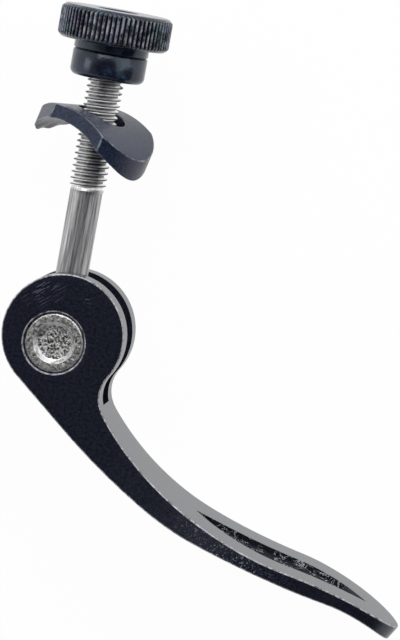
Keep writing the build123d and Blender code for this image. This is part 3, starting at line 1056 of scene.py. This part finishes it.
# %% Plating of the nut
black = new_material("black_plating")
place = add(black, "ShaderNodeTexCoord").outputs["Object"]
CLOUD, HIGHLIGHT_PATCH, TINT = 2.2, 1.4, 3
VALLEY_FROM, VALLEY_TO, RIDGE_FROM, RIDGE_TO = 8.5, 8.88, 8.9, 9.02  # distances from the nut's axis
rate = per_metre(CLOUD)
cloud = add(black, "ShaderNodeTexNoise", {"Vector": place, "Scale": rate, "Detail": 4, "Roughness": 0.7})
coat = add(
    black, "ShaderNodeValToRGB", {0: cloud}, stops=((0.36, "#0B0C13"), (0.54, "#1A1B2C"), (0.68, "#2C4658"))
)
flat_place = add(black, "ShaderNodeVectorMath", {0: place, 1: (1, 0, 1)}, operation="MULTIPLY")
radius = add(black, "ShaderNodeVectorMath", {0: flat_place}, operation="LENGTH").outputs["Value"]
# The ridges are lightened in broken patches: painted highlights.
ridge = add(black, "ShaderNodeMapRange", {0: radius, 1: RIDGE_FROM * MM, 2: RIDGE_TO * MM, 3: 0, 4: 1})
rate = per_metre(HIGHLIGHT_PATCH)
patch = add(black, "ShaderNodeTexNoise", {"Vector": place, "Scale": rate, "Detail": 4, "Roughness": 0.75})
broken_highlight = add(black, "ShaderNodeMapRange", {0: patch, 1: 0.42, 2: 0.6, 3: 0.05, 4: 1})
bare_and_highlight = add(black, "ShaderNodeMath", {0: ridge, 1: broken_highlight}, operation="MULTIPLY")
# The grooves darken to #06060A: painted shade.
valley_shade = add(black, "ShaderNodeMapRange", {0: radius, 1: VALLEY_FROM * MM, 2: VALLEY_TO * MM, 3: 0, 4: 1})
groove_shade = add(black, "ShaderNodeMix", {"Factor": valley_shade, 6: coat, 7: "#06060A"}, data_type="RGBA").outputs[2]
tint = add(black, "ShaderNodeTexNoise", {"Vector": place, "Scale": per_metre(TINT), "Detail": 3})
wear_and_glint = add(
    black, "ShaderNodeValToRGB", {0: tint}, stops=((0.4, "#7E7B92"), (0.5, "#9C9DA4"), (0.62, "#74858E"))
)
coat = add(black, "ShaderNodeMix", {"Factor": bare_and_highlight, 6: groove_shade, 7: wear_and_glint}, data_type="RGBA").outputs[2]
bump = add(black, "ShaderNodeBump", {"Height": cloud, "Strength": 0.4, "Distance": 0.12 * MM})
shader = add(
    black,
    "ShaderNodeBsdfPrincipled",
    {"Base Color": coat, "Roughness": 0.18, "Normal": bump, "IOR": 1.6, "Specular Tint": "#CFE0F2"},
)
add(black, "ShaderNodeOutputMaterial", {"Surface": shader})
dress(nut, black)

# %% [markdown]
# ## Camera, light and floor
# The camera looks down from high above, almost along the pivot. Two large soft lamps light the object from
# the nut's side and a small one from the left. The room is white round the object and dark overhead: a
# glossy black face mirrors what is above it, and under a white ceiling it would turn grey. Only the camera
# sees the room white all over. A dark side beyond the handle's tip works like a black card and darkens
# what turns that way. The floor is white paper; what the camera and the metal see of it glows white.

# %% Camera
scene = bpy.context.scene
camera = bpy.data.objects.new("camera", bpy.data.cameras.new("camera"))
scene.collection.objects.link(camera)
camera.location = (0.0896121, 0.0794358, 0.6900580)
camera.rotation_euler = (radians(-4.8568), radians(6.5722), radians(10.1976))
camera.data.lens, camera.data.sensor_width = 243.14, 36
camera.data.clip_start = 0.01
scene.camera = camera
scene.view_settings.view_transform = "Standard"
print("the camera stands", round(camera.location.z / MM), "mm above the pivot")

# %% Room
world = bpy.data.worlds.new("studio")
scene.world = world
world.use_nodes = True
world.node_tree.nodes.clear()
WHITE, DARK = "#FFFFFF", "#2E2E36"
OVERHEAD, BEYOND = (0.02, -0.2, 0.98), (0.83, -0.5, 0.25)  # the middles of the dark ceiling and card
way = add(world, "ShaderNodeTexCoord").outputs["Generated"]
high = add(world, "ShaderNodeVectorMath", {0: way, 1: OVERHEAD}, operation="DOT_PRODUCT").outputs["Value"]
room = add(world, "ShaderNodeValToRGB", {0: high}, stops=((0.48, WHITE), (0.9, DARK)))
far = add(world, "ShaderNodeVectorMath", {0: way, 1: BEYOND}, operation="DOT_PRODUCT").outputs["Value"]
card = add(world, "ShaderNodeMapRange", {0: far, 1: 0.7, 2: 0.9, 3: 0, 4: 1})
room = add(world, "ShaderNodeMix", {"Factor": card, 6: room, 7: DARK}, data_type="RGBA").outputs[2]
seen = add(world, "ShaderNodeLightPath").outputs["Is Camera Ray"]
colour = add(world, "ShaderNodeMix", {"Factor": seen, 6: room, 7: WHITE}, data_type="RGBA").outputs[2]
sky = add(world, "ShaderNodeBackground", {"Color": colour, "Strength": 1.0})
add(world, "ShaderNodeOutputWorld", {"Surface": sky})
print("the room is white at the sides and dark overhead")

# %% Lamps
centre = (Vector(cad_box[0]) + Vector(cad_box[1])) / 2


def lamp(name, offset, size, watts):
    """A soft square lamp that looks at the object's middle from this far off it, in metres."""
    data = bpy.data.lights.new(name, "AREA")
    data.size, data.energy = size, watts
    light = bpy.data.objects.new(name, data)
    scene.collection.objects.link(light)
    light.location = centre + Vector(offset)
    light.rotation_euler = (centre - light.location).to_track_quat("-Z", "Y").to_euler()
    print(name, "lamp", watts, "W,", round(Vector(offset).length, 2), "m away")


lamp("key", (-0.12, 0.60, 0.42), 0.6, 3.6)
lamp("fill", (0.50, 0.35, 0.42), 0.6, 1.2)
lamp("edge", (-0.64, 0.09, 0.34), 0.25, 0.4)

# %% Floor
begin()
FLOOR_SIZE, FLOOR_GAP, GLOW_SHARE = 4, 0.2, 0.97
bpy.ops.mesh.primitive_plane_add(size=FLOOR_SIZE, location=(0, 0, cad_box[0][2] - FLOOR_GAP * MM))
floor = bpy.context.object
floor.name = "floor"
paper = new_material("white_paper")
matt = add(paper, "ShaderNodeBsdfPrincipled", {"Base Color": "#F3F3F3", "Roughness": 0.9})
glow = add(paper, "ShaderNodeEmission", {"Color": WHITE, "Strength": 1.0})
rays = add(paper, "ShaderNodeLightPath")
seen = add(paper, "ShaderNodeMath", {0: rays.outputs["Is Camera Ray"], 1: rays.outputs["Is Glossy Ray"]})
seen = add(paper, "ShaderNodeMath", {0: seen, 1: rays.outputs["Is Transmission Ray"]}, use_clamp=True)
# A little of the paper itself stays, so that the object's shadow shows on it.
share = add(paper, "ShaderNodeMath", {0: seen, 1: GLOW_SHARE}, operation="MULTIPLY")
surface = add(paper, "ShaderNodeMixShader", {0: share, 1: matt, 2: glow})
add(paper, "ShaderNodeOutputMaterial", {"Surface": surface})
dress(floor, paper)
